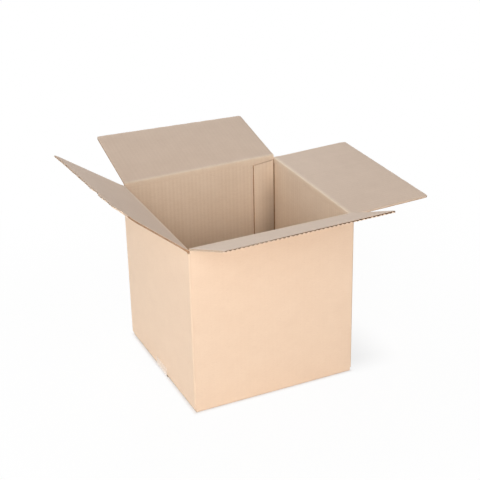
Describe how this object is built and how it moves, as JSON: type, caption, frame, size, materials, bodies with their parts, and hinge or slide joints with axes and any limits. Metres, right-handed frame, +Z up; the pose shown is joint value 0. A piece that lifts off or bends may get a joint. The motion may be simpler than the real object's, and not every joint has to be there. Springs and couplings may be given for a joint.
{
  "type": "cardboard box",
  "caption": "Square carton of corrugated board with a glued side seam, a taped bottom and hinged top flaps that stand open.",
  "frame": {"origin": "middle of the underside, on the lower face of the tape that closes the bottom", "axes": "+Z up, -Y out of the front wall, +X out of the right wall"},
  "size_m": [0.5662, 0.5744, 0.3852],
  "materials": {
    "kraft_board": "matte kraft liner",
    "packing_tape": "clear film, glossy"
  },
  "bodies": {
    "carton": {"box_body": "kraft_board", "bottom_tape": "packing_tape"},
    "front": {"front_flap": "kraft_board"},
    "back": {"back_flap": "kraft_board"},
    "left": {"left_flap": "kraft_board"},
    "right": {"right_flap": "kraft_board"}
  },
  "joints": [
    {"name": "front_crease", "type": "hinge", "parent": "carton", "child": "front", "pos_m": [0, -0.148, 0.3045], "axis": [-1, 0, 0], "range_deg": [-68.5, 156.5]},
    {"name": "back_crease", "type": "hinge", "parent": "carton", "child": "back", "pos_m": [0, 0.148, 0.3045], "axis": [1, 0, 0], "range_deg": [-61, 164]},
    {"name": "left_crease", "type": "hinge", "parent": "carton", "child": "left", "pos_m": [-0.148, 0, 0.3], "axis": [0, 1, 0], "range_deg": [-79.5, 145.5]},
    {"name": "right_crease", "type": "hinge", "parent": "carton", "child": "right", "pos_m": [0.148, 0, 0.3], "axis": [0, -1, 0], "range_deg": [-46.5, 178.5]}
  ]
}
